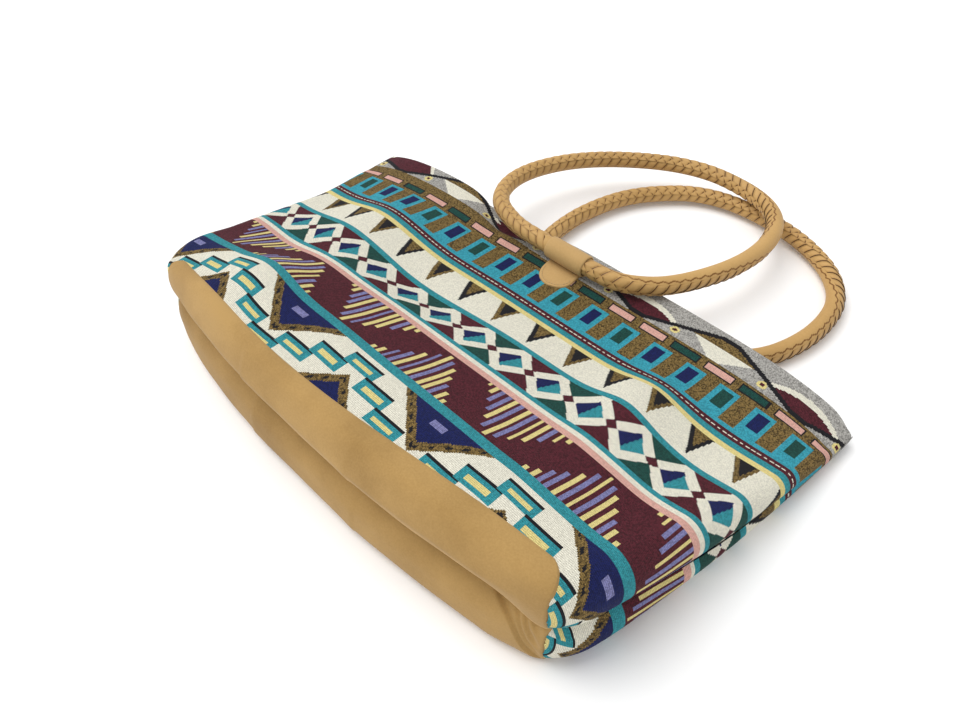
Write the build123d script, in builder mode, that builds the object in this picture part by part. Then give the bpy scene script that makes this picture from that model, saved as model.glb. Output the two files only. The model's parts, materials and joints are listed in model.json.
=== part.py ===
"""A tote bag lying on its back panel: woven front and back panels, a leather base folded inwards along its
middle, and two plaited ring handles, each held to its panel by a leather loop.

X runs across the bag, Y from its base to its mouth and Z up from the table.
"""

import os
from math import asin, cos, exp, radians, sin, tan

from build123d import *

# Bag
mouth_width = 441.0
bag_length = 265.0
base_reach = 127.0
half_depth = 36.5
wall = 1.8
fold_overlap = 3.8
top_crown = 3.5
corner_rise = 3.0
hill_height = 10.0
table_press = 0.4

# Leather base
base_length = 366.0
base_width = 21.0
base_bow = 13.0
base_corner_radius = 30.0

# Ring handles: a rolled leather tube with a roof-shaped side that its plaited edges lie on
ring_span = 188.0
ring_radius = 6.6
spine_height = 5.2
front_spine_deg = 18.0
back_spine_deg = 12.0
ring_clearance = 0.3
tube_corners_deg = (90, 135, 180, 225, 270)

# Plait: two rows of slanting strips, each strip tucked under the next
plait_pitch = 8.0
plait_top_radius = 7.0
plait_tuck_radius = 6.3
plait_gap = 0.3
plait_slant_deg = 38.0
plait_edge_deg = 84.0

# Loops that hold the handles
loop_length = 34.0
loop_wall = 1.2
loop_tab_length = 25.0
loop_tab_thickness = 1.4
loop_end_gap = 3.0
loop_bite = 0.4
front_loop_setback = 23.0
back_loop_setback = 15.0

# One overrun serves all cuts
overrun = 10.0

# Sections across the bag from its base to its mouth, in shares of the bag's length, half the mouth's width,
# the half depth, the fullness of the base's rounded end and the rise of the mouth
section_shares = (
    (0.002, 0.227, 1.00, 0.30, 0.00),
    (0.010, 0.360, 1.00, 0.55, 0.00),
    (0.021, 0.480, 1.00, 0.74, 0.00),
    (0.042, 0.650, 1.00, 0.90, 0.00),
    (0.087, 0.844, 1.00, 0.99, 0.00),
    (0.158, 0.893, 1.00, 1.00, 0.00),
    (0.245, 0.912, 0.91, 1.00, 0.00),
    (0.328, 0.930, 0.81, 1.00, 0.00),
    (0.420, 0.946, 0.71, 1.00, 0.00),
    (0.517, 0.961, 0.60, 1.00, 0.00),
    (0.610, 0.971, 0.50, 1.00, 0.00),
    (0.706, 0.980, 0.40, 1.00, 0.02),
    (0.838, 0.991, 0.25, 1.00, 0.45),
    (0.906, 0.997, 0.16, 1.00, 0.96),
    (1.000, 1.000, 0.14, 1.00, 1.00),
)

# How far across a section its rise has all but levelled off, and how much of the rise it has there
arch_place_share = 0.62
arch_height_share = 0.94

# Places across the top of the front, in shares of its half span, and how sharply it falls at its ends
top_place_shares = (-1, -0.85, -0.62, -0.35, 0, 0.35, 0.62, 0.85, 1)
top_fall_power = 6

# Soft hills and hollows of the front, in shares of half the mouth's width, the bag's length and the hills'
# height: where each lies across and along, how high it stands and how far it spreads across and along
hill_shares = (
    (-0.635, 0.706, 1.00, 0.190, 0.226),
    (-0.454, 0.230, 0.80, 0.136, 0.106),
    (-0.680, 0.396, -0.70, 0.145, 0.075),
    (-0.181, 0.532, -0.60, 0.218, 0.075),
    (0.553, 0.623, 1.00, 0.109, 0.136),
    (0.820, 0.404, -0.70, 0.120, 0.283),
)

# Where the flats of a section's rounded sides meet
side_corners_deg = (-60, -30, 0, 30, 60)

# Corners of the polygons that the rings are rounded from, in shares of the ring's span, from the loop's middle
front_ring_shares = (
    (0.190, 0.000), (0.385, 0.163), (0.484, 0.508), (0.440, 0.824), (0.260, 0.976),
    (-0.088, 0.976), (-0.424, 0.668), (-0.544, 0.340), (-0.477, 0.090), (-0.282, 0.000),
)
back_ring_shares = (
    (0.470, 0.000), (0.735, 0.100), (0.837, 0.404), (0.787, 0.702), (0.495, 0.898),
    (0.053, 0.912), (-0.198, 0.665), (-0.276, 0.394), (-0.266, 0.133), (-0.191, 0.000),
)
ring_rounding_share = 0.485
crossing_share = 0.97

# Sizes that follow from those above
half_mouth = mouth_width / 2
half_base = base_length / 2
mouth_y = bag_length - base_reach
seam_y = base_width - base_reach
loop_bore = ring_radius + ring_clearance
loop_radius = loop_bore + loop_wall
mouth_rise = 2 * loop_radius + loop_tab_thickness - loop_bite + 2 * table_press
front_loop_y = mouth_y - front_loop_setback
back_loop_y = mouth_y - back_loop_setback


def arch(half_span, end_height, middle_height):
    """Points of a line across the bag that rises from its ends and levels off in the middle."""
    shoulder = arch_place_share * half_span
    shoulder_height = end_height + arch_height_share * (middle_height - end_height)
    return [
        (-half_span, end_height),
        (-shoulder, shoulder_height),
        (0, middle_height),
        (shoulder, shoulder_height),
        (half_span, end_height),
    ]


def hill_lift(x, y):
    """How far the front stands above its plain form, or below it."""
    lift = 0
    for across_share, along_share, height_share, wide_share, long_share in hill_shares:
        across = (x / half_mouth - across_share) / wide_share
        along = ((y + base_reach) / bag_length - along_share) / long_share
        lift += height_share * hill_height * exp(-across * across - along * along)
    return lift


def top_line(half_span, y, end_height, middle_height, rise):
    """Points across the top of the front, with its hills and hollows, that fade where the mouth rises."""
    points = []
    for share in top_place_shares:
        level = 1 - abs(share) ** top_fall_power
        height = middle_height - end_height + (1 - rise) * hill_lift(share * half_span, y)
        points.append((share * half_span, end_height + level * height))
    return points


def side_points(half_span, height, radius):
    """Points round the right side of a section, from below to above."""
    return [
        (half_span + radius * cos(radians(turn)), height + radius * sin(radians(turn))) for turn in side_corners_deg
    ]


def half_sections(upper, inset):
    """Sections across the upper or lower half of the bag, drawn in from its outside by the inset."""
    faces = []
    for place, width, depth_share, fullness, rise in section_shares:
        y = place * bag_length - base_reach
        if fullness < 1:
            y += inset
        if place == 1 and inset > 0:
            y += overrun
        depth = depth_share * half_depth
        middle = depth / 2
        low = middle - fullness * middle
        high = middle + fullness * middle + fold_overlap
        if upper:
            low = depth + middle - fullness * middle - fold_overlap
            high = depth + middle + fullness * middle
        low += inset - table_press
        high -= inset + table_press
        half_width = width * half_mouth - inset
        half_span = half_width - (high - low) / 2
        end_rise = rise * corner_rise
        middle_rise = rise * mouth_rise
        crown = depth_share * top_crown * half_span / half_mouth
        press = table_press * half_span / half_mouth
        side = (low + high) / 2 + end_rise
        points = arch(half_span, low + end_rise, low + middle_rise - press)
        points += side_points(half_span, side, (high - low) / 2)
        top = arch(half_span, high + end_rise, high + middle_rise + crown)
        if upper:
            top = top_line(half_span, y, high + end_rise, high + middle_rise + crown, rise)
        points += top[::-1]
        points += [(-x, z) for x, z in side_points(half_span, side, (high - low) / 2)[::-1]]
        with BuildSketch(Plane.XZ.offset(-y)) as section:
            Polygon(*points, align=None)
        faces.append(section.sketch.faces()[0])
    return faces


def front_side_sections():
    """Sections of all the room above the fold that parts the front of the bag from its back."""
    reach = half_mouth + overrun
    ceiling = 2 * half_depth + mouth_rise + overrun
    faces = []
    for place, width, depth_share, _, rise in section_shares:
        y = place * bag_length - base_reach
        if place == section_shares[0][0]:
            y -= overrun
        if place == 1:
            y += overrun
        depth = depth_share * half_depth
        fold = depth - table_press
        end = fold + rise * corner_rise
        half_span = width * half_mouth - (depth + fold_overlap) / 2
        points = [(-reach, end)]
        points += arch(half_span, end, fold + rise * mouth_rise + table_press * half_span / half_mouth)
        points += [(reach, end), (reach, ceiling), (-reach, ceiling)]
        with BuildSketch(Plane.XZ.offset(-y)) as section:
            Polygon(*points, align=None)
        faces.append(section.sketch.faces()[0])
    return faces


# The outer form of each half of the bag, and the same form grown by the tabs that lie on it
with BuildPart() as front_form:
    loft(sections=half_sections(upper=True, inset=0), ruled=True)

with BuildPart() as back_form:
    loft(sections=half_sections(upper=False, inset=0), ruled=True)

with BuildPart() as front_tab_form:
    loft(sections=half_sections(upper=True, inset=-loop_tab_thickness), ruled=True)

with BuildPart() as back_tab_form:
    loft(sections=half_sections(upper=False, inset=-loop_tab_thickness), ruled=True)

with BuildPart() as front_side:
    loft(sections=front_side_sections(), ruled=True)

# Each half is a thin shell, open at the mouth and along the fold where it meets the other
with BuildPart() as front_half:
    add(front_form.part)
    loft(sections=half_sections(upper=True, inset=wall), ruled=True, mode=Mode.SUBTRACT)
    add(front_side.part, mode=Mode.INTERSECT)

with BuildPart() as back_half:
    add(back_form.part)
    loft(sections=half_sections(upper=False, inset=wall), ruled=True, mode=Mode.SUBTRACT)
    add(front_side.part, mode=Mode.SUBTRACT)
    split(bisect_by=Plane.XY, keep=Keep.TOP)

# The room that the leather takes: beyond a bowed seam, between two ends with rounded upper corners
with BuildPart() as base_room:
    with BuildSketch(Plane.XY.offset(-overrun)):
        with BuildLine():
            ThreePointArc((-half_base, seam_y + base_bow), (0, seam_y), (half_base, seam_y + base_bow))
            Polyline(
                (half_base, seam_y + base_bow),
                (half_base, -base_reach - overrun),
                (-half_base, -base_reach - overrun),
                (-half_base, seam_y + base_bow),
            )
        make_face()
    extrude(amount=2 * half_depth + top_crown + 2 * overrun)
    fillet(base_room.edges().filter_by(Axis.Y).group_by(Axis.Z)[-1], base_corner_radius)

# Leather base
with BuildPart() as base:
    add(front_half.part)
    add(back_half.part)
    add(base_room.part, mode=Mode.INTERSECT)

# Woven panels
with BuildPart() as front_panel:
    add(front_half.part)
    add(base_room.part, mode=Mode.SUBTRACT)

with BuildPart() as back_panel:
    add(back_half.part)
    add(base_room.part, mode=Mode.SUBTRACT)


def loop_outline(loop_y, height):
    """A loop's tab in plan, from the handle's axis to a half-round end nearer the base."""
    half = loop_length / 2
    straight_end = loop_y - loop_tab_length + half
    with BuildSketch(Plane.XY.offset(height)) as outline:
        with BuildLine():
            Polyline((-half, straight_end), (-half, loop_y), (half, loop_y), (half, straight_end))
            ThreePointArc((half, straight_end), (0, loop_y - loop_tab_length), (-half, straight_end))
        make_face()
    return outline.sketch


# What of the front lies under its loop
with BuildPart() as front_seat:
    extrude(loop_outline(front_loop_y, 0), amount=2 * half_depth + mouth_rise)
    add(front_form.part, mode=Mode.INTERSECT)

# Where the handles turn in their loops: the front one lies on its panel and the back one under its own
front_height = front_seat.part.bounding_box().max.Z
front_axis_z = front_height + loop_tab_thickness + loop_radius - loop_bite
back_axis_z = loop_radius
droop = asin((front_axis_z - back_axis_z - 2 * plait_top_radius - ring_clearance) / (crossing_share * ring_span))
front_ring_plane = Plane(
    origin=(0, front_loop_y, front_axis_z), x_dir=(1, 0, 0), z_dir=(0, sin(droop), cos(droop))
)
back_ring_plane = Plane(origin=(0, back_loop_y, back_axis_z), x_dir=(1, 0, 0), z_dir=(0, 0, 1))


def loop_tube(loop_y, axis_z, radius):
    """A round section across a loop at its left end."""
    with BuildSketch(Plane.YZ.offset(-loop_length / 2)) as section:
        with Locations((loop_y, axis_z)):
            Circle(radius)
    return section.sketch


# Leather loops: a tab on the panel that carries on round the handle
with BuildPart() as front_loop:
    extrude(loop_outline(front_loop_y, front_height - loop_radius), amount=2 * loop_radius)
    add(front_tab_form.part, mode=Mode.INTERSECT)
    extrude(loop_tube(front_loop_y, front_axis_z, loop_radius), amount=loop_length)
    extrude(loop_tube(front_loop_y, front_axis_z, loop_bore), amount=loop_length, mode=Mode.SUBTRACT)
    add(front_form.part, mode=Mode.SUBTRACT)

with BuildPart() as back_loop:
    extrude(loop_outline(back_loop_y, 0), amount=mouth_rise)
    add(back_tab_form.part, mode=Mode.INTERSECT)
    extrude(loop_tube(back_loop_y, back_axis_z, loop_radius), amount=loop_length)
    extrude(loop_tube(back_loop_y, back_axis_z, loop_bore), amount=loop_length, mode=Mode.SUBTRACT)
    add(back_form.part, mode=Mode.SUBTRACT)


def ring_path(plane, corner_shares):
    """A ring's closed centreline: straight through its loop, then round from arc to arc."""
    corners = [plane.from_local_coords((u * ring_span, v * ring_span)) for u, v in corner_shares]
    loop_reach = loop_length / 2 + loop_end_gap
    end = plane.origin
    with BuildLine() as path:
        for index, corner in enumerate(corners):
            before = corners[index - 1] - corner
            after = corners[(index + 1) % len(corners)] - corner
            half_turn = radians(180 - before.get_angle(after)) / 2
            tangent = ring_rounding_share * min(before.length, after.length)
            if corner_shares[index][1] == 0:
                tangent = min(tangent, (corner - plane.origin).length - loop_reach)
            radius = tangent / tan(half_turn)
            inward = (before.normalized() + after.normalized()).normalized()
            start = corner + before.normalized() * tangent
            middle = corner + inward * (radius / cos(half_turn) - radius)
            Line(end, start)
            end = corner + after.normalized() * tangent
            ThreePointArc(start, middle, end)
        Line(end, plane.origin)
    return path.wire()


def ring_frame(ring, plane, distance):
    """The place, the way along and the way outwards on a ring, at a distance round it from the loop's middle."""
    first = (ring.position_at(0) - plane.origin).length
    share = (distance - first) / ring.length % 1
    along = ring.tangent_at(share)
    return ring.position_at(share), along, along.cross(plane.z_dir)


def tube_section(ring, plane, spine_deg):
    """The rolled tube's section: flat facets round its smooth side and a roof under the plait."""
    corners = [(spine_deg, spine_height)]
    corners += [(spine_deg + turn, ring_radius) for turn in tube_corners_deg]
    with BuildSketch(Plane(origin=ring.position_at(0), x_dir=plane.z_dir, z_dir=ring.tangent_at(0))) as section:
        Polygon(*[(size * cos(radians(turn)), size * sin(radians(turn))) for turn, size in corners], align=None)
    return section.sketch


def round_section(plane):
    """The tube's full round section at the left end of its run through the loop."""
    start = plane.from_local_coords((-loop_length / 2 - loop_end_gap, 0, 0))
    with BuildSketch(Plane(origin=start, x_dir=plane.z_dir, z_dir=plane.x_dir)) as section:
        Circle(ring_radius)
    return section.sketch


def strip_section(ring, plane, spine_deg, distance, side, radius):
    """A plaited strip's edge, on a plane that slants back from the spine to the tube's flank on one side."""
    turn = radians(spine_deg)
    place, _, outward = ring_frame(ring, plane, distance)
    spine = plane.z_dir * cos(turn) + outward * sin(turn)
    back = ring_radius * tan(radians(plait_slant_deg))
    flank_place, _, flank_outward = ring_frame(ring, plane, distance + back)
    flank = flank_place + (flank_outward * cos(turn) - plane.z_dir * sin(turn)) * side * ring_radius
    stretch = (flank - place).length / ring_radius
    edge = radians(plait_edge_deg)
    points = [(spine_height + plait_gap, 0), (radius, 0)]
    for bend in (edge / 2, edge):
        points.append((radius * cos(bend) + plait_gap, radius * sin(bend) * stretch))
    with BuildSketch(Plane(origin=place, x_dir=spine, z_dir=spine.cross(flank - place))) as section:
        Polygon(*points, align=None)
    return section.sketch


def plait_strips(ring, plane, spine_deg):
    """Both rows of strips, from one end of the loop round to the other."""
    first = loop_length / 2 + loop_end_gap
    last = ring.length - first - ring_radius * tan(radians(plait_slant_deg))
    count = int((last - first) / plait_pitch)
    pitch = (last - first) / count
    strips = []
    for index in range(count):
        for side in (-1, 1):
            tuck = strip_section(ring, plane, spine_deg, first + index * pitch, side, plait_tuck_radius)
            lip = strip_section(ring, plane, spine_deg, first + (index + 1) * pitch, side, plait_top_radius)
            strips.append(loft(sections=[tuck, lip], ruled=True, mode=Mode.PRIVATE))
    return strips


# Front handle
front_ring = ring_path(front_ring_plane, front_ring_shares)
with BuildPart() as front_handle:
    sweep(tube_section(front_ring, front_ring_plane, front_spine_deg), path=front_ring)
    extrude(round_section(front_ring_plane), amount=loop_length + 2 * loop_end_gap)

with BuildPart() as front_handle_plait:
    add(plait_strips(front_ring, front_ring_plane, front_spine_deg))

# Back handle
back_ring = ring_path(back_ring_plane, back_ring_shares)
with BuildPart() as back_handle:
    sweep(tube_section(back_ring, back_ring_plane, back_spine_deg), path=back_ring)
    extrude(round_section(back_ring_plane), amount=loop_length + 2 * loop_end_gap)

with BuildPart() as back_handle_plait:
    add(plait_strips(back_ring, back_ring_plane, back_spine_deg))

os.makedirs("parts", exist_ok=True)
for name, piece in (
    ("base", base),
    ("front_panel", front_panel),
    ("back_panel", back_panel),
    ("front_loop", front_loop),
    ("back_loop", back_loop),
    ("front_handle", front_handle),
    ("back_handle", back_handle),
    ("front_handle_plait", front_handle_plait),
    ("back_handle_plait", back_handle_plait),
):
    piece.part.label = name
    export_step(piece.part, f"parts/{name}.step")
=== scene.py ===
"""Looks of a tote bag that lies on its back panel, in the frame of its CAD parts."""
import json
import math

import bpy
import numpy as np
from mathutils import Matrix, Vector


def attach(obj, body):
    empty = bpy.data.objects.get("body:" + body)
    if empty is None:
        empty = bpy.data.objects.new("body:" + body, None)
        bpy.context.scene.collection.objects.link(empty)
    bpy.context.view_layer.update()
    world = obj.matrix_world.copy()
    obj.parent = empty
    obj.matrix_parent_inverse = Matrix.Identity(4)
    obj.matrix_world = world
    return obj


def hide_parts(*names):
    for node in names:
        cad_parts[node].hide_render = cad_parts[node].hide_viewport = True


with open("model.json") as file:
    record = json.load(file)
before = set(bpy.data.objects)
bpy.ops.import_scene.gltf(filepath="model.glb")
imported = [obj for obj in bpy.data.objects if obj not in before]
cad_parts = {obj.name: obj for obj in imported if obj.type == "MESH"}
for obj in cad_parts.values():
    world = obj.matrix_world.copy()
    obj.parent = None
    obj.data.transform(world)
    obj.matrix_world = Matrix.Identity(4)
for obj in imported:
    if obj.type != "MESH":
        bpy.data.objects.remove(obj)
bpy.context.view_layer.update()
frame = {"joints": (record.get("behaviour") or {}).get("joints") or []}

MM = 0.001

# ---------------------------------------------------------------- sizes, mm
MOUTH_HALF, LENGTH, BASE_REACH, HALF_DEPTH = 220.5, 265.0, 127.0, 36.5
OVERLAP, CROWN, PRESS, CORNER_RISE, MOUTH_RISE = 3.8, 3.5, 0.4, 3.0, 18.0
MOUTH_Y = LENGTH - BASE_REACH
OFF_TABLE = 0.3
# Shares by which the base lies askew and the left side has sunk in and down
SKEW, SINK_IN, SINK_DOWN = 0.028, 0.045, 0.16
# The hem's curl left of the loop, and how far the mouth's right corner is rounded
LIP_X, LIP_SPREAD, LIP_BACK, LIP_DROP = -66.0, 30.0, 14.0, 9.0
FRONT_CORNER, BACK_CORNER = 6.0, 4.0
# The leather's half lengths and seam, and the fold that hangs over its lower half
BASE_HALF, BASE_LEFT, BASE_ROUND, BASE_ROWS, BASE_COLUMNS = 181.0, 174.0, 16.0, 110, 260
SEAM_Y, SEAM_X, SEAM_BOW, SEAM_SPREAD, SEAM_ALLOWANCE = -110.5, -35.0, 24.0, 170.0, 2.0
BASE_RADIUS = (HALF_DEPTH + OVERLAP) / 2
UPPER_Z = 1.5 * HALF_DEPTH - OVERLAP / 2 - PRESS
CREASE = math.asin((HALF_DEPTH / 2 - OVERLAP / 2) / BASE_RADIUS)
FOLD, TUCK, DRAWN_IN, DRAWN_Z, LEAN = math.radians(2), math.radians(75), 0.35, 58.0, 0.16
END_X, OVER_Y, FOLD_ROW = 140.0, -107.0, 52
# Ring handles: reach, tube and the plait round it
RING_SPAN, TUBE, CORE_STEPS, CORE_SIDES = 188.0, 6.3, 700, 72
PLAIT_PITCH, PLAIT_EDGE, PLAIT_RADIUS = 8.0, math.radians(84), 8.0
RING_STACK, CROSSING = 14.3, 0.97
LOOP_HALF, LOOP_BORE, LOOP_OUTSIDE = 17.0, 6.9, 8.1
TAB_HALF, TAB_LENGTH, TAB_THICK, TAB_TUCK = 14.0, 24.0, 1.4, 3.0
# Cloth: size of a woven cell, half the cloth's width, and the row of dashes that its pattern hangs from
CELL, BACK_CELL, CLOTH_HALF, CLOTH_START = 0.95, 1.35, 228.0, -114.0
DASH_Y, DASH_V, SPLIT_V = 104.5, 174.5, 120.5
HEM_BACK = np.array((0.2, 0.5, 2.0, 9.0, 17.0, 25.0))
HEM_DROP = np.array((0.5, 1.3, 1.8, 1.8, 1.8, 1.8))
RIB_PITCH, KNOT_PITCH = 1.0, 0.85

joints = {joint["name"]: joint for joint in frame["joints"]}
FRONT_AXIS = np.array(joints["front_ring_swing"]["pos_m"]) / MM
BACK_AXIS = np.array(joints["back_ring_swing"]["pos_m"]) / MM
DROOP = math.asin((FRONT_AXIS[2] - BACK_AXIS[2] - RING_STACK) / (CROSSING * RING_SPAN))

# Sections from base to mouth: place along the bag, then shares of half the mouth's width,
# of half the depth and of the mouth's rise
PLACE = (0.002, 0.010, 0.021, 0.042, 0.087, 0.158, 0.328, 0.517, 0.706, 0.838, 0.906, 1.0)
WIDTH = (0.227, 0.360, 0.480, 0.650, 0.844, 0.893, 0.930, 0.961, 0.980, 0.991, 0.997, 1.0)
DEPTH = (1.0, 1.0, 1.0, 1.0, 1.0, 1.0, 0.81, 0.60, 0.40, 0.25, 0.16, 0.14)
RISE = (0.0, 0.0, 0.0, 0.0, 0.0, 0.0, 0.0, 0.0, 0.02, 0.45, 0.96, 1.0)

# Soft hills and hollows of the stuffed cloth: x, y, height, spread across, spread along
HILLS = (
    (-140, 60, 10, 42, 60), (-100, -66, 8, 30, 28), (-150, -22, -7, 32, 20), (-40, 14, -6, 48, 20),
    (122, 38, 10, 24, 36), (181, -20, -7, 26.5, 75),
)


def ease(x, low, high):
    t = np.clip((np.asarray(x, float) - low) / (high - low), 0, 1)
    return t * t * (3 - 2 * t)


def curve(x, xs, ys):
    """A smooth line through points that never overshoots them."""
    xs, ys = np.asarray(xs, float), np.asarray(ys, float)
    step = np.diff(xs)
    slope = np.diff(ys) / step
    same = slope[1:] * slope[:-1] > 0
    mean = np.where(same, 2 * slope[1:] * slope[:-1] / np.where(same, slope[1:] + slope[:-1], 1), 0)
    tangent = np.concatenate(([slope[0]], mean, [slope[-1]]))
    x = np.clip(x, xs[0], xs[-1])
    i = np.clip(np.searchsorted(xs, x) - 1, 0, len(step) - 1)
    t = (x - xs[i]) / step[i]
    return (ys[i] * (1 + 2 * t) * (1 - t) ** 2 + ys[i + 1] * t * t * (3 - 2 * t)
            + step[i] * (tangent[i] * t * (1 - t) ** 2 + tangent[i + 1] * t * t * (t - 1)))


def section(y):
    t = (np.asarray(y, float) + BASE_REACH) / LENGTH
    depth = curve(t, PLACE, DEPTH) * HALF_DEPTH
    radius = (depth + OVERLAP) / 2
    return curve(t, PLACE, WIDTH) * MOUTH_HALF - radius, depth, radius, curve(t, PLACE, RISE)


def hills(x, y):
    total = np.zeros(np.broadcast(x, y).shape)
    for at_x, at_y, height, wide, long in HILLS:
        total = total + height * np.exp(-((x - at_x) / wide) ** 2 - ((y - at_y) / long) ** 2)
    return total


def settle(points):
    """The base lies a little askew, and the left side has sunk in."""
    left = ease(-points[..., 0], 80, 210) * (1 - ease(points[..., 1], 40, 130))
    near_base = 1 - ease(points[..., 1], -110, 20)
    points[..., 1] -= SKEW * points[..., 0] * near_base
    points[..., 0] *= 1 - SINK_IN * left
    points[..., 2] *= 1 - SINK_DOWN * left
    return points


def lip(x):
    """How much the front hem curls down, from 0 to 1."""
    return np.exp(-((x - LIP_X) / LIP_SPREAD) ** 2)


def corner(x, y):
    """How rounded the mouth's right corner is, from 0 to 1."""
    return ease(x, 196, 222) ** 2 * ease(y, 100, MOUTH_Y)


def front_point(u, y):
    """A point of the front panel, u across from its middle and y along."""
    half, depth, radius, rise = section(y)
    side = np.sign(u)
    over = np.maximum(np.abs(u) - half, 0)
    crease = np.arcsin(np.clip((OVERLAP / 2 - depth / 2) / radius, -1, 1))
    turn = np.maximum(np.pi / 2 - over / radius, crease)
    flat = over <= 0
    x = np.where(flat, u, side * (half + radius * np.cos(turn)))
    place = np.minimum(np.abs(u) / half, 1)
    level = 1 - place ** 6
    top = 2 * depth - PRESS + rise * (CORNER_RISE + level * (MOUTH_RISE - CORNER_RISE))
    top = top + level * (CROWN * depth / HALF_DEPTH + (1 - rise) * hills(u, y))
    middle = 1.5 * depth - OVERLAP / 2 - PRESS + rise * CORNER_RISE
    z = np.where(flat, top, middle + radius * np.sin(turn))
    curl = lip(x) * ease(y, 96, MOUTH_Y)
    z = z - LIP_DROP * curl * ease(y, 112, MOUTH_Y)
    return np.stack(np.broadcast_arrays(x, y - LIP_BACK * curl - FRONT_CORNER * corner(x, y), z), -1)


def back_point(u, y):
    """A point of the back panel, which lies flat on the table."""
    half, depth, radius, rise = section(y)
    side = np.sign(u)
    over = np.maximum(np.abs(u) - half, 0)
    crease = np.arcsin(np.clip((depth / 2 - OVERLAP / 2) / radius, -1, 1))
    turn = np.minimum(over / radius - np.pi / 2, crease)
    flat = over <= 0
    x = np.where(flat, u, side * (half + radius * np.cos(turn)))
    level = 1 - np.minimum(np.abs(u) / half, 1) ** 6
    low = OFF_TABLE + rise * (CORNER_RISE + level * (MOUTH_RISE - CORNER_RISE))
    middle = OFF_TABLE + radius + rise * CORNER_RISE
    side_z = middle + (radius - PRESS - OFF_TABLE) * np.sin(turn) - PRESS * (1 + np.sin(turn)) / 2
    z = np.maximum(np.where(flat, low, side_z), OFF_TABLE)
    return np.stack(np.broadcast_arrays(x, y - BACK_CORNER * corner(x, y), z), -1)


# ---------------------------------------------------------------- meshes
def mesh_piece(name, points, faces, material, body):
    mesh = bpy.data.meshes.new(name)
    mesh.from_pydata((np.asarray(points) * MM).tolist(), [], np.asarray(faces).tolist())
    mesh.polygons.foreach_set("use_smooth", [True] * len(mesh.polygons))
    mesh.update()
    piece = bpy.data.objects.new(name, mesh)
    bpy.context.scene.collection.objects.link(piece)
    mesh.materials.append(material)
    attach(piece, body)
    return piece


def grid_faces(rows, cols, close_rows=False, close_cols=False, start=0):
    i = np.arange(rows if close_rows else rows - 1)[:, None]
    j = np.arange(cols if close_cols else cols - 1)[None, :]
    n, m = (i + 1) % rows, (j + 1) % cols
    faces = np.stack([i * cols + j, i * cols + m, n * cols + m, n * cols + j], -1)
    return faces.reshape(-1, 4) + start


def paint(piece, name, colours):
    """One colour to each face."""
    layer = piece.data.color_attributes.new(name, "FLOAT_COLOR", "CORNER")
    counts = np.array([len(p.vertices) for p in piece.data.polygons])
    values = np.repeat(colours, counts, axis=0)
    layer.data.foreach_set("color", values.ravel())


def paint_points(piece, name, colours):
    """One colour to each point."""
    layer = piece.data.color_attributes.new(name, "FLOAT_COLOR", "POINT")
    layer.data.foreach_set("color", np.c_[colours, np.ones(len(colours))].ravel())


def flat_map(piece, uv):
    """The place of each point on the flat cloth, mm."""
    layer = piece.data.uv_layers.new(name="cloth")
    corners = np.array([i for p in piece.data.polygons for i in p.vertices])
    layer.data.foreach_set("uv", uv[corners].ravel())


# ---------------------------------------------------------------- materials
def material(name, roughness, sheen=0.0):
    made = bpy.data.materials.new(name)
    made.use_nodes = True
    nodes, links = made.node_tree.nodes, made.node_tree.links
    shader = nodes["Principled BSDF"]
    shader.inputs["Roughness"].default_value = roughness
    shader.inputs["Specular IOR Level"].default_value = 0.25
    shader.inputs["Sheen Weight"].default_value = sheen
    return made, nodes, links, shader


def math_node(nodes, links, kind, one, two):
    node = nodes.new("ShaderNodeMath")
    node.operation = kind
    for socket, value in zip(node.inputs, (one, two)):
        if isinstance(value, (int, float)):
            socket.default_value = value
        else:
            links.new(value, socket)
    return node.outputs[0]


def noise(nodes, links, scale, detail, vector=None):
    node = nodes.new("ShaderNodeTexNoise")
    node.inputs["Scale"].default_value = scale
    node.inputs["Detail"].default_value = detail
    if vector is None:
        vector = nodes.new("ShaderNodeTexCoord").outputs["Object"]
    links.new(vector, node.inputs["Vector"])
    return node.outputs["Fac"]


def ramp(nodes, links, fac, low, high, one, two):
    node = nodes.new("ShaderNodeMapRange")
    node.inputs["From Min"].default_value = low
    node.inputs["From Max"].default_value = high
    node.inputs["To Min"].default_value = one
    node.inputs["To Max"].default_value = two
    links.new(fac, node.inputs["Value"])
    return node.outputs["Result"]


def scaled(nodes, links, colour, factor):
    node = nodes.new("ShaderNodeVectorMath")
    node.operation = "SCALE"
    links.new(colour, node.inputs[0])
    links.new(factor, node.inputs["Scale"])
    return node.outputs[0]


def bump(nodes, links, shader, height, distance, strength):
    node = nodes.new("ShaderNodeBump")
    node.inputs["Distance"].default_value = distance
    node.inputs["Strength"].default_value = strength
    links.new(height, node.inputs["Height"])
    links.new(node.outputs["Normal"], shader.inputs["Normal"])


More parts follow.
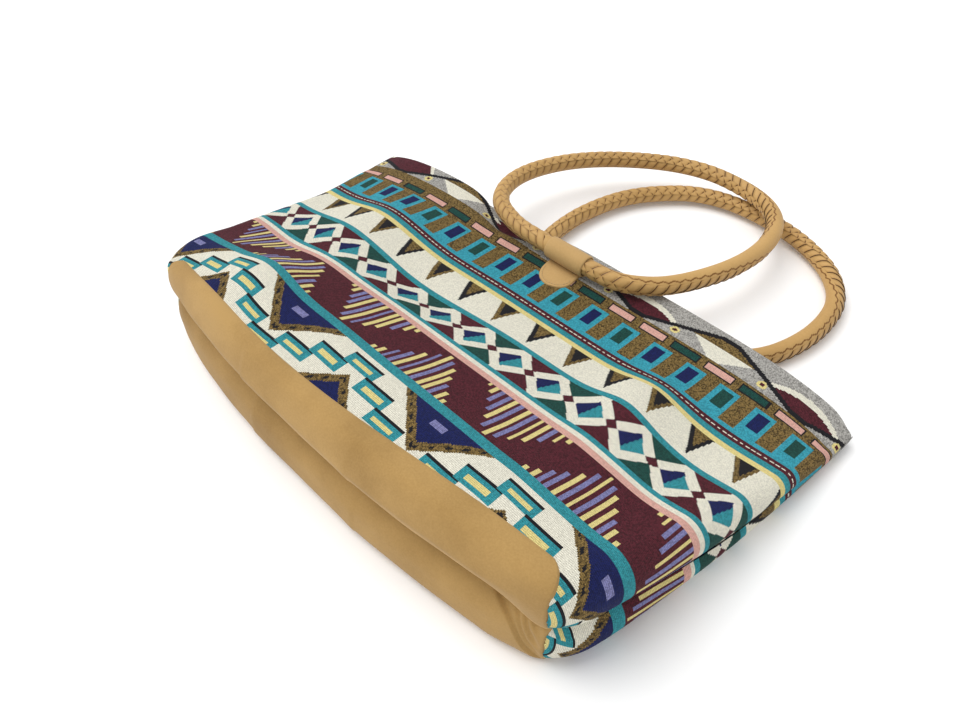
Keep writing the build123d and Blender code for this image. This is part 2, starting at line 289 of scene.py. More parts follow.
def cloth_material():
    """Ribs of yarn with knots across them, each cell a little darker or lighter."""
    made, nodes, links, shader = material("woven_cloth", 0.9)
    colour = nodes.new("ShaderNodeAttribute")
    colour.attribute_name = "yarn"
    place = nodes.new("ShaderNodeUVMap")
    place.uv_map = "cloth"
    split = nodes.new("ShaderNodeSeparateXYZ")
    links.new(place.outputs["UV"], split.inputs[0])
    wave = math_node(nodes, links, "MULTIPLY", split.outputs["Y"], 2 * math.pi / RIB_PITCH)
    rib = math_node(nodes, links, "SINE", wave, 0)
    turn = math_node(nodes, links, "MULTIPLY", split.outputs["X"], 2 * math.pi / KNOT_PITCH)
    line = math_node(nodes, links, "FLOOR", split.outputs["Y"], 0)
    shift = math_node(nodes, links, "MULTIPLY", line, math.pi)
    knot = math_node(nodes, links, "SINE", math_node(nodes, links, "ADD", turn, shift), 0)
    fibre = noise(nodes, links, 1.3, 3, place.outputs["UV"])
    thread = math_node(nodes, links, "ADD", rib, math_node(nodes, links, "MULTIPLY", knot, 0.7))
    height = math_node(nodes, links, "ADD", thread, math_node(nodes, links, "MULTIPLY", fibre, 1.6))
    # painted shade of the weave's relief: colour is darker in the hollows between ribs and knots and
    # lighter on their tops, with random fibre tone in it as well
    shade = ramp(nodes, links, height, -1.2, 2.8, 0.58, 1.28)
    cells = nodes.new("ShaderNodeVectorMath")
    cells.operation = "MULTIPLY"
    links.new(place.outputs["UV"], cells.inputs[0])
    cells.inputs[1].default_value = (1.45, 1.15, 1)
    whole = nodes.new("ShaderNodeVectorMath")
    whole.operation = "FLOOR"
    links.new(cells.outputs[0], whole.inputs[0])
    fleck = nodes.new("ShaderNodeTexWhiteNoise")
    fleck.noise_dimensions = "2D"
    links.new(whole.outputs[0], fleck.inputs["Vector"])
    dark = math_node(nodes, links, "MULTIPLY", fleck.outputs["Value"], colour.outputs["Alpha"])
    shade = math_node(nodes, links, "MULTIPLY", shade, math_node(nodes, links, "SUBTRACT", 1.0, dark))
    links.new(scaled(nodes, links, colour.outputs["Color"], shade), shader.inputs["Base Color"])
    bump(nodes, links, shader, height, 0.0005, 0.6)
    return made


def leather_material(name, colour, dark, roughness, grain, sheen, attribute=None):
    """Leather in clouds of two colours, multiplied where one is named by a colour attribute of painted
    highlight and shade.
    """
    made, nodes, links, shader = material(name, roughness, sheen)
    cloud = noise(nodes, links, 18, 4)
    fine = noise(nodes, links, grain, 5)
    mix = nodes.new("ShaderNodeMix")
    mix.data_type = "RGBA"
    mix.inputs["A"].default_value = (*dark, 1)
    mix.inputs["B"].default_value = (*colour, 1)
    both = math_node(nodes, links, "ADD", math_node(nodes, links, "MULTIPLY", cloud, 0.75),
                     math_node(nodes, links, "MULTIPLY", fine, 0.25))
    links.new(ramp(nodes, links, both, 0.3, 0.62, 0, 1), mix.inputs["Factor"])
    result = mix.outputs["Result"]
    # the attribute holds painted highlight and shade
    if attribute:
        painted_light = nodes.new("ShaderNodeAttribute")
        painted_light.attribute_name = attribute
        product = nodes.new("ShaderNodeVectorMath")
        product.operation = "MULTIPLY"
        links.new(result, product.inputs[0])
        links.new(painted_light.outputs["Color"], product.inputs[1])
        result = product.outputs[0]
    links.new(result, shader.inputs["Base Color"])
    bump(nodes, links, shader, fine, 0.0004, 0.35)
    return made


CLOTH = cloth_material()
SUEDE = leather_material("suede", (0.437, 0.270, 0.095), (0.290, 0.170, 0.053),
                         0.92, 900, 0.1, "painted_light")
HANDLE = leather_material("handle_leather", (0.520, 0.318, 0.114), (0.425, 0.249, 0.083),
                          0.6, 500, 0.05, "painted_light")
PLAIT = leather_material("plait_leather", (0.525, 0.320, 0.116), (0.430, 0.252, 0.083),
                         0.55, 500, 0.05, "painted_light")
LOOP = leather_material("loop_leather", (0.51, 0.322, 0.128), (0.41, 0.252, 0.092), 0.75, 600, 0.1)
THREAD = leather_material("stitch_thread", (0.50, 0.35, 0.17), (0.40, 0.27, 0.12), 0.7, 2500, 0.1)

# ---------------------------------------------------------------- the woven pattern
# colour of each yarn, and how strongly it is flecked with dark
YARNS = {
    "cream": (0.96, 0.925, 0.775, 0.20),
    "teal": (0.042, 0.37, 0.43, 0.42),
    "sky": (0.053, 0.45, 0.58, 0.42),
    "maroon": (0.122, 0.017, 0.029, 0.60),
    "navy": (0.009, 0.016, 0.115, 0.45),
    "green": (0.013, 0.087, 0.070, 0.50),
    "olive": (0.31, 0.20, 0.062, 0.86),
    "yellow": (0.91, 0.77, 0.31, 0.20),
    "pink": (0.85, 0.48, 0.40, 0.24),
    "lavender": (0.29, 0.29, 0.58, 0.45),
    "black": (0.012, 0.011, 0.015, 0.3),
    "grey": (0.58, 0.56, 0.52, 0.62),
}
NAMES = list(YARNS)
# how often the pattern repeats across the cloth, and the pitches of its small figures
REPEAT = 125.0
SMALL, STEP_PITCH, STRIPE_PITCH, FRAME_PITCH = REPEAT / 4, 20.5, 5.1, 26.5
# where its bands end, from the base to the mouth
DARK_BAND, DIAMOND_LOW, DIAMOND_HIGH, POINT_LOW, POINT_HIGH = 42.0, 54.5, 87.5, 92.5, 120.5
FRAME_LOW, WAVE_LOW, WAVE_HEIGHT = 137.5, 180.0, 21.0
TRIANGLE_SLOPE = 1.12
# the length and yarn of each stripe in a group
STRIPES = ((3.5, "yellow"), (8, "yellow"), (14, "lavender"), (21, "lavender"), (28, "yellow"),
           (35, "lavender"), (40, "yellow"), (36, "lavender"), (31, "yellow"), (24, "yellow"),
           (16, "lavender"), (10, "yellow"), (4, "yellow"))


def pattern(u, v):
    """The yarn at each place of the cloth, u across and v from the base to the mouth."""
    yarn = np.full(u.shape, NAMES.index("cream"))

    def put(mask, name):
        yarn[mask] = NAMES.index(name)

    def within(low, high):
        return (v >= low) & (v < high)

    def around(centre, period):
        return (u - centre + period / 2) % period - period / 2

    def number(centre, period):
        return np.floor((u - centre) / period + 0.5).astype(int)

    # stepped rectangles, then triangles that hang and rise between them
    for k in range(-3, 4):
        across = np.abs(around(10, REPEAT) - k * STEP_PITCH)
        along = v + 17.5 + abs(k) * 10
        put((across < 12.5) & (np.abs(along - 5.4) < 0.9), "black")
        put((across < 12.5) & (np.abs(along) < 4.6), "teal")
        put((across < 8) & (np.abs(along) < 1.5), "yellow")
    for centre, apex, way in ((72.5, -39, 1), (10, -27, -1)):
        across = np.abs(around(centre, REPEAT))
        height = (v - apex) * way
        outer = (across < height * TRIANGLE_SLOPE) & (v < -8)
        put(outer, "olive")
        dots = np.abs(height - 3.6 - across / TRIANGLE_SLOPE) < 1.2
        put(outer & dots & (across % 7 < 2.4), "black")
        put((across < (height - 7.5) * TRIANGLE_SLOPE) & (v < -8), "navy")
        if way > 0:
            put((across < 5.5) & (np.abs(v + 15.5) < 2.2), "lavender")
    put(within(-8, 0), "teal")
    # dark band with groups of stripes from both its edges
    put(within(0, DARK_BAND), "maroon")
    for centre, rising in ((27, True), (89.5, False)):
        reach = v if rising else DARK_BAND - v
        for k, (length, name) in enumerate(STRIPES):
            across = np.abs(around(centre, REPEAT) - (k - len(STRIPES) // 2) * STRIPE_PITCH)
            put(within(0, DARK_BAND) & (across < 1.35) & (reach < length), name)
    put(within(DARK_BAND, 47), "pink")
    put(within(50.5, DIAMOND_LOW), "teal")
    # diamonds
    band = within(DIAMOND_LOW, DIAMOND_HIGH)
    middle, tall = (DIAMOND_LOW + DIAMOND_HIGH) / 2, (DIAMOND_HIGH - DIAMOND_LOW) / 2
    rise = np.abs(v - middle) / tall
    odd = number(0.5, SMALL) % 2 == 1
    node = np.abs(around(0.5, SMALL)) / (SMALL / 2)
    put(band & (node < rise - 0.2) & odd, "green")
    put(band & (node < rise - 0.2) & ~odd, "maroon")
    put(band & (node * SMALL / 9.2 + rise * tall / 4.4 < 1), "maroon")
    side = around(0.5 + SMALL / 2, SMALL)
    heart = band & (np.abs(side) / (SMALL / 2) + rise < 0.63)
    put(heart & (side < (v - middle) * 0.25), "navy")
    put(heart & (side >= (v - middle) * 0.25), "teal")
    put(within(DIAMOND_HIGH, POINT_LOW), "teal")
    # pointed triangles
    band = within(POINT_LOW, POINT_HIGH)
    odd = number(4, SMALL) % 2 == 1
    side = around(4, SMALL)
    fall = (POINT_HIGH - v) / 25
    outer = band & (side > 12 * fall - 8.5) & (side < 8.5 - 5 * fall)
    inner = band & (side > 12 * fall - 5.1) & (side < 5.9 - 5 * fall) & (fall < 0.62)
    put(outer & ~odd, "olive")
    put(outer & odd, "black")
    put(inner & ~odd, "black")
    put(inner & odd, "olive")
    put(within(POINT_HIGH, 125.5), "yellow")
    put(within(125.5, 131.5), "teal")
    put(within(131.5, FRAME_LOW), "maroon")
    put((np.abs(v - 134.5) < 0.7) & (u % 4.05 < 2.6), "cream")
    # framed rectangles and a row of dashes
    put(within(FRAME_LOW, WAVE_LOW), "olive")
    put(within(FRAME_LOW, 142), "sky")
    side = np.abs(around(-194, FRAME_PITCH))
    turn = number(-194, FRAME_PITCH) % 5
    put((side < 7.6) & within(FRAME_LOW, 168.5), "sky")
    heart = (side < 4.0) & within(149.5, 165)
    put(heart & np.isin(turn, (1, 2, 4)), "navy")
    put(heart & np.isin(turn, (0, 3)), "green")
    side = np.abs(around(-194 + FRAME_PITCH / 2, FRAME_PITCH))
    turn = number(-194 + FRAME_PITCH / 2, FRAME_PITCH) % 5
    dash = np.abs(v - DASH_V)
    put((side < 10.6) & (dash < 3.4), "black")
    heart = (side < 9.6) & (dash < 2.3)
    put(heart & np.isin(turn, (0, 2, 4)), "pink")
    put(heart & np.isin(turn, (1, 3)), "green")
    # waved top, which lies higher on the left
    put(v >= WAVE_LOW, "olive")
    tall = v - 7 * ease(-u, 20, 80)
    top = tall >= WAVE_LOW
    side = around(128, REPEAT)
    wave = WAVE_LOW + 1.5 + WAVE_HEIGHT * np.clip(1.22 * (1 - np.abs(side) / (REPEAT / 2)) - 0.11, 0, 1)
    put(top, "grey")
    put(top & (tall < wave) & (np.abs(side) < 5 + 1.35 * (tall - WAVE_LOW)) & (tall < 193), "cream")
    put(top & (tall < wave) & (tall >= 193), "olive")
    far = np.abs(around(128 + REPEAT / 2, REPEAT))
    more = 14 * ease(-u, 150, 185)
    put(top & (tall >= wave) & (tall < 200 - 0.012 * far ** 2 + more), "cream")
    put(top & (tall >= wave) & (tall < 195 - 0.010 * far ** 2 + more), "maroon")
    put(top & (np.abs(tall - wave) < 1.9), "black")
    ring = np.hypot(np.abs(side) - 34, tall - 185.5)
    put(ring < 3.4, "yellow")
    put(ring < 1.6, "maroon")
    return np.array([YARNS[name] for name in NAMES])[yarn]


# ---------------------------------------------------------------- cloth panels
def base_half(x):
    """Half the leather's length on the side where x lies."""
    return np.where(np.asarray(x) < 0, BASE_LEFT, BASE_HALF)


def seam_y(x):
    """Where the leather's seam runs, lowest a little left of the middle."""
    return SEAM_Y + SEAM_BOW * (1 - np.exp(-((x - SEAM_X) / SEAM_SPREAD) ** 2))


def round_corner(inside):
    """How far the leather's upper corners draw in, at a distance from its seam."""
    left = BASE_ROUND - np.clip(inside, 0, BASE_ROUND)
    return BASE_ROUND - np.sqrt(BASE_ROUND ** 2 - left ** 2)


def panel(name, point, node, cell, parts):
    """A woven panel: threads across and along, cut off at the leather and turned in at the mouth."""
    count = int(CLOTH_HALF / cell)
    us = np.arange(-count, count + 1) * cell
    ys = np.linspace(CLOTH_START, MOUTH_Y, 620)
    anchor = np.searchsorted(ys, DASH_Y)
    tops, begins, grid = [], [], []
    for u in us:
        line = point(np.full(ys.shape, u), ys)
        run = np.concatenate(([0], np.cumsum(np.linalg.norm(np.diff(line, axis=0), axis=1))))
        along = DASH_V + run - run[anchor]
        # the cloth starts just under the leather's edge
        seam = seam_y(line[:, 0])
        end = base_half(line[:, 0]) - 1
        if point is front_point:
            down = np.maximum(70 - line[:, 2], 0)
            end = end - round_corner(seam + SEAM_ALLOWANCE - line[:, 1] + down)
        under = (np.abs(line[:, 0]) < end) & (line[:, 1] < seam - 1.5)
        begins.append(along[np.where(under)[0][-1] + 1] if under.any() else along[0])
        tops.append(along[-1])
        grid.append(along)
    rows = np.arange(math.floor(min(begins) / cell), math.ceil(max(tops) / cell) + 1) * cell
    vs = np.clip(rows[:, None], np.array(begins), np.array(tops))
    grid_y = np.stack([np.interp(vs[:, j], grid[j], ys) for j in range(len(us))], 1)
    points = point(np.broadcast_to(us, vs.shape), grid_y)
    # the hem, turned in at the mouth
    inwards = -1 if point is front_point else 1
    hem = np.stack([point(us, np.full(us.shape, MOUTH_Y - back)) for back in HEM_BACK])
    hem[..., 2] += inwards * HEM_DROP[:, None]
    hem[:2, :, 1] = points[-1, :, 1] + 0.3
    flat = settle(np.concatenate((points, hem)).reshape(-1, 3))
    along = np.concatenate((vs, np.array(tops) - HEM_BACK[:, None]))
    uv = np.stack((np.broadcast_to(us, along.shape), along), -1).reshape(-1, 2)
    # faces that the cuts have shrunk to nothing are left out
    faces = grid_faces(len(along), len(us))
    one, two = flat[faces[:, 2]] - flat[faces[:, 0]], flat[faces[:, 3]] - flat[faces[:, 1]]
    area = np.linalg.norm(np.cross(one, two), axis=1) / 2
    across = np.minimum(np.linalg.norm(one, axis=1), np.linalg.norm(two, axis=1))
    whole = (area > 0.01) & (across > 0.05)
    row = np.repeat(np.arange(len(along) - 1), len(us) - 1)
    cut = np.searchsorted(rows, SPLIT_V) if parts > 1 else 0
    pieces = []
    for part in range(parts):
        keep = whole & ((row >= cut) if part == parts - 1 else (row < cut))
        used, index = np.unique(faces[keep], return_inverse=True)
        quads = index.reshape(-1, 4)
        if point is back_point:
            quads = quads[:, ::-1]
        part_name = name + "_low" if part < parts - 1 else name
        piece = mesh_piece(part_name, flat[used], quads, CLOTH, "bag")
        centres = (np.floor(uv[used][quads].mean(axis=1) / cell) + 0.5) * cell
        paint(piece, "yarn", pattern(centres[:, 0], centres[:, 1]))
        flat_map(piece, uv[used])
        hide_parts(node)
        pieces.append(piece)
    return pieces


front_low, front_cloth = panel("front_cloth", front_point, "front_panel", CELL, 2)
back_cloth, = panel("back_cloth", back_point, "back_panel", BACK_CELL, 1)


# ---------------------------------------------------------------- leather base
def over_front(x, y):
    """The height of the front panel's upper side."""
    y = np.maximum(y, OVER_Y)
    half, depth, radius, _ = section(y)
    turn = np.arccos(np.clip((abs(x) - half) / radius, 0, 1))
    round_z = 1.5 * depth - OVERLAP / 2 - PRESS + radius * np.sin(turn)
    return np.where(abs(x) <= half, front_point(np.full(np.shape(y), x), y)[..., 2], round_z)


def side_y(half):
    """Where along the bag its half width is as given."""
    return curve(half, np.array(WIDTH) * MOUTH_HALF, np.array(PLACE) * LENGTH - BASE_REACH)


def base_profile(x):
    """The base's outline in a plane across X, from its upper seam down to its lower seam."""
    blend = float(ease(abs(x), END_X, BASE_HALF))
    out = -BASE_REACH if abs(x) < WIDTH[0] * MOUTH_HALF else float(side_y(np.array([abs(x)]))[0])
    fold, tuck = FOLD + (CREASE - FOLD) * blend, TUCK + (CREASE - TUCK) * blend

    def round_off(share, power):
        return np.sign(share) * np.abs(share) ** power

    def at(turn, power):
        gap = BASE_RADIUS * (1 - round_off(np.cos(turn), power))
        return (1 - blend) * (out + gap) + blend * side_y(abs(x) + gap)

    # the upper lobe, squarer in the middle, which meets the cloth and is drawn in at its fold
    upper = np.linspace(math.pi / 2, -fold, 46)
    square = 0.85 + 0.15 * blend
    top_y = at(upper, square)
    top_z = UPPER_Z + BASE_RADIUS * round_off(np.sin(upper), square)
    lift = (over_front(x, top_y) - top_z) * np.where(upper > 0, ease(top_y - out, 1, 13), 0)
    top_y = top_y + DRAWN_IN * (1 - blend) * np.maximum(DRAWN_Z - top_z, 0)
    # the lower lobe, which leans out at the table
    lower = np.linspace(tuck, -math.pi / 2, 46)
    low_square = np.where(lower < 0, 0.6 + 0.4 * blend, 1)
    low_y = at(lower, low_square)
    low_z = BASE_RADIUS + (BASE_RADIUS - 0.2) * round_off(np.sin(lower), low_square) + 0.1
    low_y = low_y + LEAN * (1 - blend) * (low_z - 0.5 * HALF_DEPTH)
    # the fold's edge, turned in under the upper lobe
    edge, deep = np.array((top_y[-1], top_z[-1])), np.array((low_y[0], low_z[0]))
    turn_in = edge + np.array(((0.4, -0.9), (1.5, -1.5))) * min(np.linalg.norm(deep - edge) / 8, 1)
    profile = np.concatenate((np.c_[top_y, top_z + lift], turn_in, np.c_[low_y, low_z]))
    # both ends are led on or cut off at the seam
    end_y = seam_y(x) + SEAM_ALLOWANCE
    if top_y[0] < end_y:
        more = np.linspace(end_y, top_y[0], 8)[:-1]
        profile = np.concatenate((np.c_[more, over_front(x, more)], profile))
    if low_y[-1] < end_y:
        more = np.linspace(low_y[-1], end_y, 8)[1:]
        profile = np.concatenate((profile, np.c_[more, np.full(more.shape, low_z[-1])]))
    inside = np.where(profile[:, 0] <= end_y + 0.001)[0]
    first, last = inside[0], inside[-1]

    def crossing(one, two):
        return (one + (end_y - one[0]) / (two[0] - one[0]) * (two - one))[None]

    kept = [profile[first:last + 1]]
    if first > 0:
        kept.insert(0, crossing(profile[first], profile[first - 1]))
    if last < len(profile) - 1:
        kept.append(crossing(profile[last], profile[last + 1]))
    profile = np.concatenate(kept)
    run = np.concatenate(([0], np.cumsum(np.linalg.norm(np.diff(profile, axis=0), axis=1))))
    even = np.linspace(0, run[-1], BASE_ROWS)
    y, z = np.interp(even, run, profile[:, 0]), np.interp(even, run, profile[:, 1])
    return np.c_[np.full(even.shape, x), y, z]


def normals(points):
    """The way out of a grid of points."""
    along = np.gradient(points, axis=0)
    across = np.gradient(points, axis=1)
    normal = np.cross(along, across)
    return normal / np.maximum(np.linalg.norm(normal, axis=2, keepdims=True), 1e-9)


def leather_base():
    """The leather's two lobes, closer sampled towards its ends."""
    reach = math.pi / 2 * 0.97
    xs = np.sin(np.linspace(-reach, reach, BASE_COLUMNS)) / math.sin(reach)
    xs = xs * base_half(xs)
    points = np.stack([base_profile(x) for x in xs], 1)
    # its upper corners are rounded, so each row ends a little sooner
    run = np.cumsum(np.linalg.norm(np.diff(points, axis=0, prepend=points[:1]), axis=2), axis=0)
    left, right = 1 - round_corner(run[:, 0]) / BASE_LEFT, 1 - round_corner(run[:, -1]) / BASE_HALF
    for i, row in enumerate(points):
        across = xs * np.where(xs < 0, left[i], right[i])
        points[i] = np.c_[across, np.interp(across, xs, row[:, 1]), np.interp(across, xs, row[:, 2])]
    out = normals(points)
    if out[20, BASE_COLUMNS // 2, 2] < 0:
        out = -out
    # it lies on the cloth by its thickness, with its edges pressed down
    row = np.arange(BASE_ROWS)[:, None]
    rows = row / (BASE_ROWS - 1)
    x, z = points[..., 0], points[..., 2]
    to_end = np.minimum(np.abs(points[:, :1, 0] - x), np.abs(points[:, -1:, 0] - x))
    edge = np.minimum(np.minimum(rows, 1 - rows) * BASE_ROWS, to_end)
    height = np.where(edge < 2, -0.5 + 0.75 * edge, 1.0)
    wrinkle = 0.2 * np.sin(x / 9 + 2.1 * np.sin(rows * 9)) * np.sin(rows * 23 + x / 31)
    # a pleat that runs from the crease to the lower right corner, with small wrinkles over it
    low = (row > FOLD_ROW + 1) * ease(x, 138, 152)
    pleat = curve(x, (138, 160, 173, 181), (38, 29, 9, 2))
    wrinkle = wrinkle + low * 2.4 * (ease(pleat - z, -0.7, 0.7) - 0.6)
    wrinkle = wrinkle + low * 0.7 * np.sin((z - pleat) / 1.6 + x / 9) * ease(z - pleat, 0, 6)
    wrinkle = wrinkle * ease(edge, 1, 8)
    points = points + out * (height + wrinkle)[..., None]
    points[..., 2] = np.maximum(points[..., 2], 0.05)
    # painted light: the fold's lower edge is painted lighter as a highlight, and the part under it is
    # painted darker as shade
    blend = ease(np.abs(x), END_X, BASE_HALF)
    fold_z = UPPER_Z - BASE_RADIUS * np.sin(FOLD + (CREASE - FOLD) * blend)
    rim = np.exp(-((points[..., 2] - fold_z - 1.0) / 2.2) ** 2) * (row < FOLD_ROW)
    painted_light = 1 + 0.30 * rim - 0.05 * ease(fold_z - points[..., 2], 1, 8)
    points = settle(points)
    faces = grid_faces(*points.shape[:2])
    piece = mesh_piece("leather_base", points.reshape(-1, 3), faces, SUEDE, "bag")
    # the painted highlight and shade are kept as a colour attribute that multiplies the suede's colour
    paint_points(piece, "painted_light", np.repeat(painted_light.reshape(-1, 1), 3, axis=1))
    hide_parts("base")


leather_base()


# ---------------------------------------------------------------- ring handles
# Corners that each ring's line is rounded from, across and away from its loop, as shares of the ring's span
FRONT_RING = (
    (0.130, 0), (0.250, 0.020), (0.385, 0.163), (0.484, 0.508), (0.440, 0.824), (0.260, 0.976),
    (-0.088, 0.976), (-0.424, 0.668), (-0.544, 0.340), (-0.477, 0.090), (-0.282, 0), (-0.130, 0),
)
BACK_RING = (
    (0.130, 0), (0.470, 0), (0.735, 0.100), (0.837, 0.404), (0.787, 0.702), (0.495, 0.898),
    (0.053, 0.912), (-0.198, 0.665), (-0.276, 0.394), (-0.266, 0.133), (-0.191, 0), (-0.130, 0),
)
# Where the plait lies round each ring: share of the length, degrees from up to out. The front one
# twists once round on its way.
FRONT_SPINE = (
    (0, 42), (0.05, 72), (0.11, 128), (0.20, 147), (0.27, 180), (0.34, 236), (0.42, 276),
    (0.50, 306), (0.62, 324), (0.75, 328), (0.86, 348), (0.93, 374), (1, 402),
)
BACK_SPINE = (
    (0, 60), (0.08, 110), (0.14, 122), (0.25, 142), (0.35, 128), (0.42, 50), (0.50, -20),
    (0.62, -45), (0.75, -42), (0.88, 10), (1, 60),
)


def ring_line(shares, origin, droop):
    """The ring's closed centreline in its own plane, from the loop on, with its run, origin and droop."""
    corners = np.array(shares) * RING_SPAN
    t = np.linspace(0, 1, 40, endpoint=False)[:, None]
    parts = []
    for i in range(len(corners)):
        a, b, c = corners[i - 1], corners[i], corners[(i + 1) % len(corners)]
        parts.append((a + b) / 2 * (1 - t) ** 2 + 2 * b * t * (1 - t) + (b + c) / 2 * t ** 2)
    line = np.concatenate(parts)
    start = np.argmin(np.hypot(line[:, 0], line[:, 1]))
    line = np.roll(line, -start, axis=0)
    closed = np.concatenate((line, line[:1]))
    run = np.concatenate(([0], np.cumsum(np.hypot(*np.diff(closed, axis=0).T))))
    return closed, run, np.array(origin), droop


def ring_frame(ring, distance):
    """The place on the ring's line, with its way along, out and up."""
    line, run, origin, droop = ring

    def spot(d):
        d = d % run[-1]
        return np.stack((np.interp(d, run, line[:, 0]), np.interp(d, run, line[:, 1])), -1)

    place = spot(distance)
    along = spot(distance + 1.5) - spot(distance - 1.5)
    along = along / np.linalg.norm(along, axis=-1, keepdims=True)
    up = np.array((0, math.sin(droop), math.cos(droop)))
    right = np.array((1.0, 0, 0))
    away = np.cross(up, right)
    world = origin + place[..., :1] * right + place[..., 1:] * away
    way = along[..., :1] * right + along[..., 1:] * away
    return world, way, np.cross(way, up), np.broadcast_to(up, world.shape)


def around_ring(ring, distance, turn, radius):
    """Points round the ring's line, turned from up to out."""
    place, _, out, up = ring_frame(ring, distance)
    return place + radius[..., None] * (np.cos(turn)[..., None] * up + np.sin(turn)[..., None] * out)


def ring_handle(name, shares, origin, droop, spine_points, body, node, plait_node):
    """A rolled core, and plaited strips along it."""
    ring = ring_line(shares, origin, droop)
    length = ring[1][-1]
    pitch = length / round(length / PLAIT_PITCH)

    def spine(share):
        return np.radians(curve(share % 1, *zip(*spine_points)))

    # the rolled core, with a brown saw-tooth line of painted shade beside the plait, in the crevice where
    # the strips meet it
    along = np.linspace(0, length, CORE_STEPS, endpoint=False)
    turn = np.linspace(0, 2 * math.pi, CORE_SIDES, endpoint=False)
    far, angle = np.meshgrid(along, turn, indexing="ij")
    middle = spine(far / length)
    away = (angle - middle + math.pi) % (2 * math.pi) - math.pi
    points = around_ring(ring, far, angle, np.full(far.shape, TUBE))
    faces = grid_faces(CORE_STEPS, CORE_SIDES, True, True)[:, ::-1]
    core = mesh_piece(name + "_core", points.reshape(-1, 3), faces, HANDLE, body)
    tooth = np.abs((far / pitch) % 1 - 0.5) * 2
    line = PLAIT_EDGE + 0.10 + 0.24 * tooth
    gap = np.abs(np.abs(away) - line)
    in_loop = np.minimum(far, length - far) < LOOP_HALF
    crevice_shade = np.where((gap < 0.085) & ~in_loop, 1.0, 0.0)
    painted_light = 1 - crevice_shade[..., None] * np.array((0.66, 0.77, 0.87))
    paint_points(core, "painted_light", painted_light.reshape(-1, 3))
    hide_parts(node)
    # plaited strips, each bulged, tucked under the next and taken over the spine in turn
    across = np.array((-1, -0.9, -0.74, -0.35, 0, 0.35, 0.74, 0.9, 1))
    run = np.linspace(0, 1, 10)
    c, q = np.meshgrid(across, run, indexing="ij")
    verts, faces, painted_shades = [], [], []
    first = LOOP_HALF + 3
    count = round((length - 2 * first) / pitch)
    for i in range(count):
        for side in (-1, 1):
            begin = first + (i + (0.5 if side > 0 else 0.0)) * (length - 2 * first) / count
            place = begin + pitch * (0.52 * c + 0.9 * q - 0.35)
            middle = spine(place / length)
            angle = middle + side * (-0.30 + (PLAIT_EDGE + 0.30) * q)
            over = 0.8 * np.exp(-(q / 0.20) ** 2)
            bulge = 0.55 * np.sqrt(1 - c ** 2) * (0.6 + 0.4 * np.sin(math.pi * q))
            radius = TUBE + bulge - 0.35 * c + over * (1 - 0.35 * c ** 2) - 0.7 * ease(q, 0.84, 1.0)
            radius = np.minimum(radius, PLAIT_RADIUS)
            faces.append(grid_faces(*c.shape, start=len(verts) * c.size))
            verts.append(around_ring(ring, place, angle, radius).reshape(-1, 3))
            # painted shade: each strip is darker at its edges and where it tucks under the next
            shade = (1 - 0.88 * ease(np.abs(c), 0.66, 0.93)) * (1 - 0.55 * ease(q, 0.90, 1.0))
            painted_shades.append(np.stack((shade, shade ** 1.3, shade ** 1.7), -1).reshape(-1, 3))
    plait = mesh_piece(name + "_plait", np.concatenate(verts), np.concatenate(faces), PLAIT, body)
    paint_points(plait, "painted_light", np.concatenate(painted_shades))
    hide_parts(plait_node)


ring_handle("front_ring", FRONT_RING, FRONT_AXIS, DROOP, FRONT_SPINE,
            "front_ring", "front_handle", "front_handle_plait")
ring_handle("back_ring", BACK_RING, BACK_AXIS, 0.0, BACK_SPINE,
            "back_ring", "back_handle", "back_handle_plait")


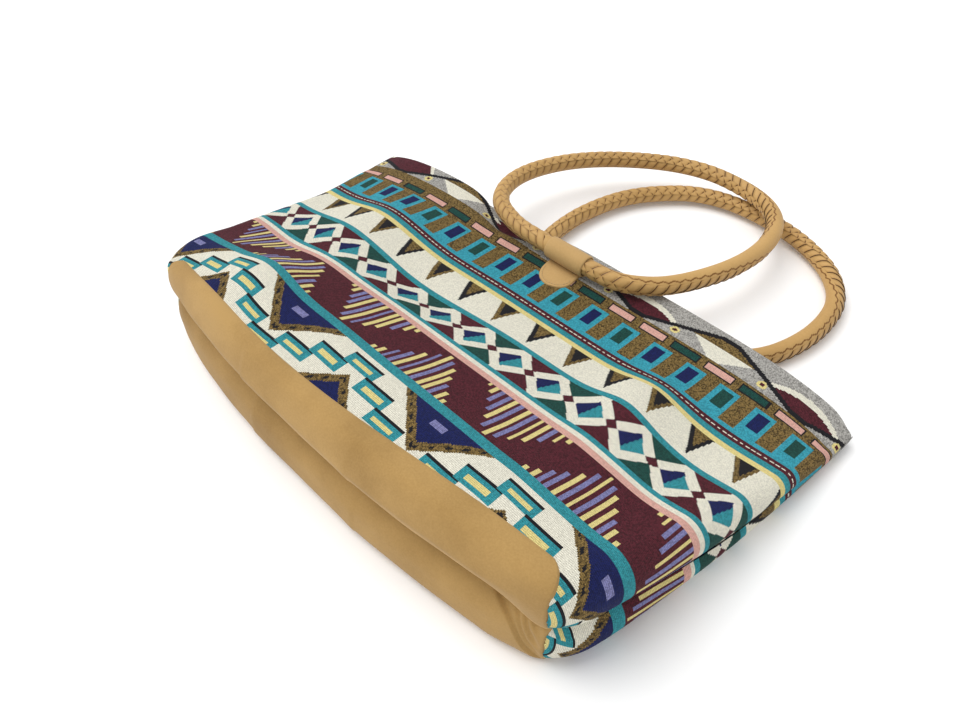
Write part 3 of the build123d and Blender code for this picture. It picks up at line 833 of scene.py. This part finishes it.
# ---------------------------------------------------------------- loops
def leather_loop(name, axis, node, upper):
    """A strap that runs round the handle and ends in a half-round tab sewn to its panel."""
    y0, z0 = axis[1], axis[2]
    point, outwards = (front_point, 1) if upper else (back_point, -1)
    # the sleeve, with rounded rims at both ends
    half_across = np.array((1, 1, 0.985, 0.93, 0.6, 0.2)) * LOOP_HALF
    half_radius = np.array((LOOP_BORE, 7.3, 7.85, LOOP_OUTSIDE, LOOP_OUTSIDE, LOOP_OUTSIDE))
    across = np.concatenate((-half_across, half_across[::-1]))
    radius = np.concatenate((half_radius, half_radius[::-1]))
    turn = np.linspace(0, 2 * math.pi, 56, endpoint=False)
    sleeve = np.stack([np.c_[np.full(turn.shape, x), y0 + r * np.cos(turn), z0 + r * np.sin(turn)]
                       for x, r in zip(across, radius)])
    # the tab, with a rounded edge
    rows = np.linspace(0, 1, 40)
    wide = np.linspace(-1, 1, 41)
    round_y = y0 - TAB_LENGTH + TAB_HALF
    y = y0 + TAB_TUCK - (TAB_LENGTH + TAB_TUCK) * np.sin(rows * math.pi / 2)
    rounded = np.sqrt(np.clip(TAB_HALF ** 2 - (round_y - y) ** 2, 0.01, None))
    half = np.where(y > round_y, TAB_HALF, rounded)
    grid_x = half[:, None] * np.sin(wide * math.pi / 2)[None, :]
    grid_y = np.broadcast_to(y[:, None], grid_x.shape)
    rim = np.minimum(half[:, None] - np.abs(grid_x), grid_y - (y0 - TAB_LENGTH))
    rise = TAB_THICK * np.sqrt(np.clip(1 - (1 - np.clip(rim / 1.1, 0, 1)) ** 2, 0, 1))
    grid_z = point(grid_x, grid_y)[..., 2] + outwards * (rise - 0.15)
    tab = np.stack((grid_x, grid_y, grid_z), -1)
    verts = np.concatenate((sleeve.reshape(-1, 3), tab.reshape(-1, 3)))
    faces = np.concatenate((grid_faces(len(across), len(turn), False, True),
                            grid_faces(len(rows), len(wide), start=sleeve.size // 3)))
    piece = mesh_piece(name, verts, faces, LOOP, "bag")
    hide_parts(node)
    # stitches along the tab's edge
    inset = TAB_HALF - 2.0
    angles = np.linspace(math.radians(4), math.radians(176), 17)
    path = np.c_[inset * np.cos(angles), round_y - inset * np.sin(angles)]
    verts, faces = [], []
    ring_turn = np.linspace(0, 2 * math.pi, 8, endpoint=False)
    steps = np.linspace(0, 1, 6)
    for this, after in zip(path[:-1], path[1:]):
        start, end = this + (after - this) * 0.16, this + (after - this) * 0.84
        way = (end - start) / np.linalg.norm(end - start)
        faces.append(grid_faces(len(steps), len(ring_turn), False, True, start=len(verts)))
        for t in steps:
            spot = start + (end - start) * t
            thick = 0.42 * math.sqrt(max(1 - (2 * t - 1) ** 4, 0.02))
            height = float(point(spot[0], spot[1])[..., 2]) + outwards * (TAB_THICK - 0.05)
            verts += [(spot[0] - way[1] * thick * math.cos(b), spot[1] + way[0] * thick * math.cos(b),
                       height + thick * math.sin(b)) for b in ring_turn]
    stitches = mesh_piece(name + "_stitches", np.array(verts), np.concatenate(faces), THREAD, "bag")


leather_loop("front_strap", FRONT_AXIS, "front_loop", True)
leather_loop("back_strap", BACK_AXIS, "back_loop", False)

# ---------------------------------------------------------------- floor, light and camera
FLOOR = 4.0
floor_mesh = bpy.data.meshes.new("floor")
floor_mesh.from_pydata([(-FLOOR, -FLOOR, 0), (FLOOR, -FLOOR, 0), (FLOOR, FLOOR, 0), (-FLOOR, FLOOR, 0)],
                       [], [(0, 1, 2, 3)])
floor = bpy.data.objects.new("floor", floor_mesh)
bpy.context.scene.collection.objects.link(floor)
floor_look, _, _, floor_shader = material("floor_white", 1.0)
floor_shader.inputs["Base Color"].default_value = (0.98, 0.98, 0.98, 1)
floor_shader.inputs["Specular IOR Level"].default_value = 0.0
floor_mesh.materials.append(floor_look)

world = bpy.data.worlds.new("soft_room")
bpy.context.scene.world = world
world.use_nodes = True
world.node_tree.nodes["Background"].inputs["Color"].default_value = (1, 1, 1, 1)
world.node_tree.nodes["Background"].inputs["Strength"].default_value = 0.77

sun = bpy.data.lights.new("key", "SUN")
sun.energy = 1.85
sun.angle = math.radians(50)
key = bpy.data.objects.new("key", sun)
key.rotation_euler = Vector((0.50, 0.22, -1.0)).to_track_quat("-Z", "Y").to_euler()
bpy.context.scene.collection.objects.link(key)

# the camera's way to its target, as fitted to the photograph
azimuth, elevation, distance = math.radians(44.77), math.radians(45.67), 0.61015
target = Vector((0.00146, 0.02348, 0))
back = Vector((math.sin(azimuth) * math.cos(elevation), -math.cos(azimuth) * math.cos(elevation),
               math.sin(elevation)))
camera_data = bpy.data.cameras.new("camera")
camera_data.lens = 33.0
camera_data.sensor_width = 36.0
camera = bpy.data.objects.new("camera", camera_data)
camera.location = target + back * distance
camera.rotation_euler = (-back).to_track_quat("-Z", "Y").to_euler()
bpy.context.scene.collection.objects.link(camera)
bpy.context.scene.camera = camera
bpy.context.scene.view_settings.view_transform = "Standard"
